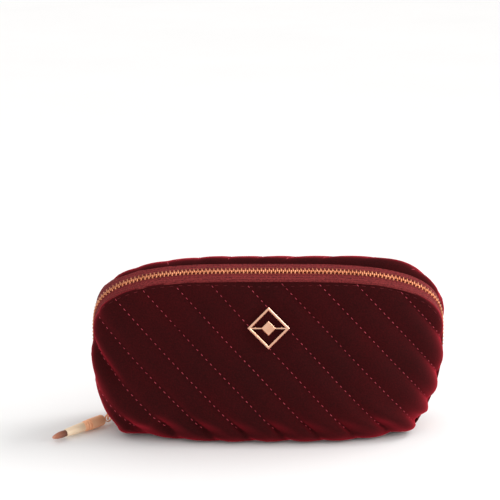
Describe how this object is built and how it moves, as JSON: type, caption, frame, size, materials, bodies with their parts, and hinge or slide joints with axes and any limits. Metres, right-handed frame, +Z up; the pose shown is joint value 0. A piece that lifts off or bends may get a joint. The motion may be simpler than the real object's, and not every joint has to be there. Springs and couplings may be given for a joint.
{
  "type": "makeup bag",
  "caption": "quilted velvet makeup bag with an arched metal zip, a front that folds open, a lozenge ornament and a brush-shaped zip pull",
  "frame": {"origin": "centre of the flat base, on the surface the bag stands on", "axes": "+X to the right of someone facing the front, along the width; +Y from front to back; +Z up"},
  "size_m": [0.2263, 0.066, 0.102],
  "materials": {
    "velvet": "burgundy velvet pile, quilted",
    "foam": "polyester wadding",
    "lining": "smooth woven lining",
    "zip_tape": "woven zip tape, dusty rose red",
    "binding": "folded cloth binding",
    "zip_metal": "rose gold plated teeth",
    "slider_metal": "polished rose gold plate",
    "badge_metal": "polished rose gold plate",
    "charm_metal": "satin rose gold plate",
    "ferrule_metal": "pale satin gold plate",
    "bristle_enamel": "brown moulded bristles with a paler tip"
  },
  "bodies": {
    "bag": {"back_foam": "foam", "back_lining": "lining", "back_velvet_left": "velvet", "back_velvet_middle": "velvet", "back_velvet_right": "velvet", "base_foam": "foam", "base_lining": "lining", "base_velvet": "velvet", "front_foam_fold": "foam", "front_foam_lower": "foam", "front_lining_fold": "lining", "front_lining_lower": "lining", "front_velvet_fold": "velvet", "front_velvet_lower": "velvet", "seam_binding_back": "binding", "zip_bottom_stop": "zip_metal", "zip_tape_back": "zip_tape", "zip_tape_front_ends": "zip_tape", "zip_teeth_back": "zip_metal", "zip_teeth_front_ends": "zip_metal", "zip_top_stops": "zip_metal"},
    "front_flap": {"badge": "badge_metal", "badge_backplate": "badge_metal", "front_foam_upper": "foam", "front_lining_upper": "lining", "front_velvet_upper": "velvet", "seam_binding_front": "binding", "zip_tape_front": "zip_tape", "zip_teeth_front": "zip_metal"},
    "slider": {"slider_body": "slider_metal", "slider_bail": "slider_metal"},
    "pull_link": {"pull_link": "slider_metal"},
    "charm": {"pull_handle": "charm_metal", "pull_collar": "charm_metal", "pull_ferrule": "ferrule_metal", "pull_bristles": "bristle_enamel"}
  },
  "joints": [
    {"name": "mouth_open", "type": "hinge", "parent": "bag", "child": "front_flap", "pos_m": [0, 0.002, 0.024], "axis": [1, 0, 0], "range_deg": [0, 30], "deforming": ["front_velvet_fold", "front_foam_fold", "front_lining_fold"]},
    {"name": "slider_travel", "type": "hinge", "parent": "bag", "child": "slider", "pos_m": [-0.012, 0.002, 0.052], "axis": [0, 1, 0], "range_deg": [0, 24], "deforming": ["zip_teeth_back", "zip_teeth_front", "zip_teeth_front_ends"]},
    {"name": "pull_swing", "type": "hinge", "parent": "slider", "child": "pull_link", "pos_m": [-0.09448, 0.002, 0.01035], "axis": [0, 1, 0], "range_deg": [0, 75]},
    {"name": "charm_swing", "type": "hinge", "parent": "pull_link", "child": "charm", "pos_m": [-0.09448, 0.002, 0.00415], "axis": [-0.0191, -0.0179, 0.9997], "range_deg": [-90, 5]}
  ]
}
